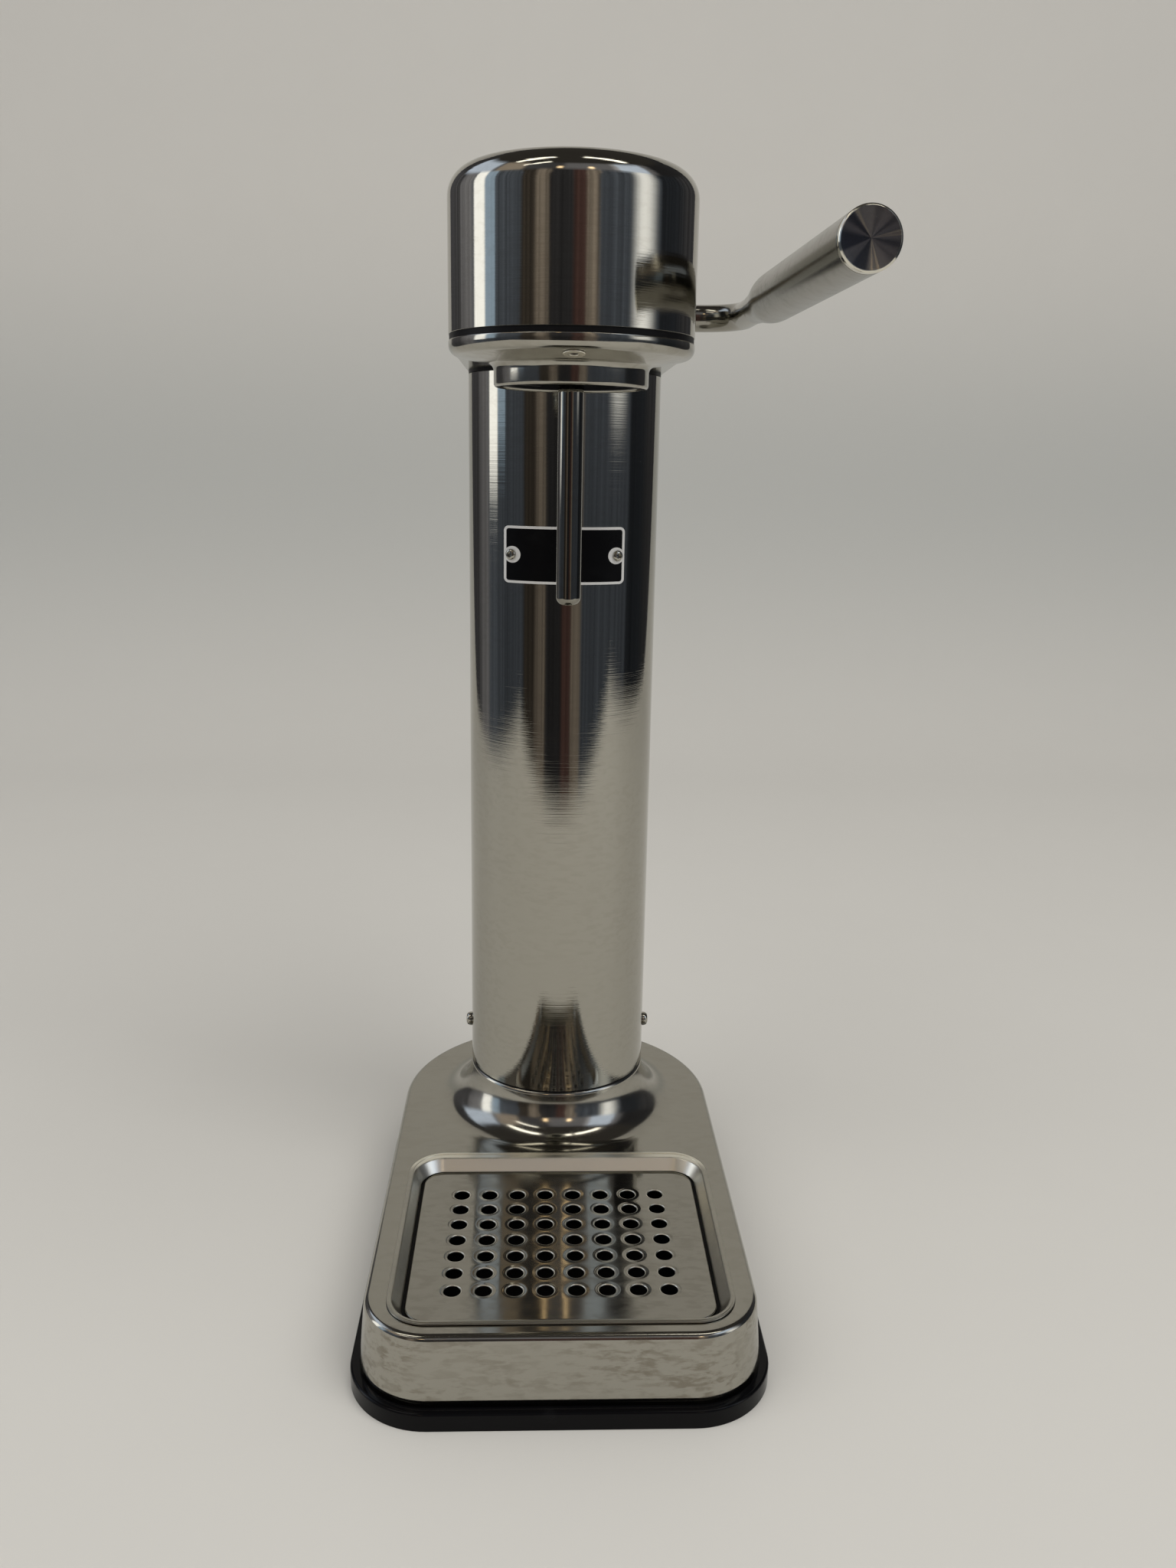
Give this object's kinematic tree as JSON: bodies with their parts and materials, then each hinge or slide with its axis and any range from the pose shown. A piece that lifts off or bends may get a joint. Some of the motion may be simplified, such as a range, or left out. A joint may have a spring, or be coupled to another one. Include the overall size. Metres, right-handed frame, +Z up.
{
  "type": "sparkling water maker",
  "caption": "Hand-operated sparkling water maker: steel base with lift-out drip tray, column for a gas cylinder, head with bottle collar, nozzle and pull-down lever.",
  "frame": {"origin": "on the column's axis at floor level, which is the mouth of the gas cylinder's bay", "axes": "+Z up, -Y towards the user (the bottle side), +X towards the lever"},
  "size_m": [0.164, 0.2647, 0.4134],
  "materials": {
    "polished_steel": "mirror polished stainless steel",
    "gloss_black": "gloss black plastic",
    "black_plastic": "satin black plastic",
    "black_rubber": "matt black rubber",
    "brass": "machined brass",
    "cast_alloy": "cast alloy",
    "plain_steel": "plain machined steel"
  },
  "bodies": {
    "machine": {"foot_plinth": "gloss_black", "floor_pads": "black_rubber", "base_screws": "plain_steel", "base_frame": "black_plastic", "base_shell": "polished_steel", "shell_studs": "plain_steel", "stud_nuts": "plain_steel", "column_foot_ring": "black_rubber", "column_tube": "polished_steel", "column_side_screws": "polished_steel", "bay_sleeve": "black_plastic", "column_head_ring": "cast_alloy", "column_top_ring": "black_rubber", "badge_plate": "polished_steel", "badge_field": "gloss_black", "badge_screws": "polished_steel", "head_dish": "polished_steel", "head_gasket": "black_rubber", "head_cap": "polished_steel", "cap_screw": "polished_steel", "head_frame": "cast_alloy", "frame_screws": "plain_steel", "vent_ring": "polished_steel", "collar_insert": "black_plastic", "bottle_seal": "black_rubber", "nozzle_block": "black_plastic", "block_screws": "plain_steel", "nozzle_tube": "polished_steel", "nozzle_nut": "brass", "safety_valve": "brass", "safety_spring": "plain_steel", "safety_cap": "brass", "relief_valve": "brass", "relief_spring": "plain_steel", "relief_cap": "brass", "gas_hose": "black_rubber", "hose_nuts": "brass", "gas_socket": "brass", "socket_nut": "brass", "socket_seal": "black_rubber", "pin_spring": "plain_steel", "lever_bushes": "brass", "shaft_seal": "black_rubber", "lever_spring": "plain_steel"},
    "lever": {"lever_rod": "polished_steel", "shaft_clips": "plain_steel", "lever_cam": "cast_alloy", "cam_screw": "plain_steel", "lever_grip": "polished_steel", "grip_cap": "polished_steel"},
    "push_pin": {"push_pin": "plain_steel"},
    "safety_poppet": {"safety_poppet": "plain_steel"},
    "relief_poppet": {"relief_poppet": "plain_steel"},
    "drip_tray": {"drip_tray": "polished_steel"},
    "drip_plate": {"drip_plate": "polished_steel"}
  },
  "joints": [
    {"name": "lever_turn", "type": "hinge", "parent": "machine", "child": "lever", "pos_m": [0, 0.012, 0.3842], "axis": [1, 0, 0], "range_deg": [0, 20], "stiffness_Nm_per_rad": 1.5, "springref_deg": -20.05},
    {"name": "pin_slide", "type": "slide", "parent": "machine", "child": "push_pin", "axis": [0, 0, -1], "range_m": [0, 0.0042], "deforming": ["pin_spring"]},
    {"name": "safety_lift", "type": "slide", "parent": "machine", "child": "safety_poppet", "axis": [0, 0, 1], "range_m": [0, 0.0015], "stiffness_N_per_m": 400, "springref_m": -0.003, "deforming": ["safety_spring"]},
    {"name": "relief_lift", "type": "slide", "parent": "machine", "child": "relief_poppet", "axis": [0, 0, 1], "range_m": [0, 0.0015], "stiffness_N_per_m": 400, "springref_m": -0.003, "deforming": ["relief_spring"]},
    {"name": "tray_lift", "type": "slide", "parent": "machine", "child": "drip_tray", "axis": [0, 0, 1], "range_m": [0, 0.06]},
    {"name": "plate_lift", "type": "slide", "parent": "drip_tray", "child": "drip_plate", "axis": [0, 0, 1], "range_m": [0, 0.04]}
  ],
  "couplings": [
    {"joint": "pin_slide", "follows": "lever_turn", "m_per_rad": 0.0118}
  ]
}
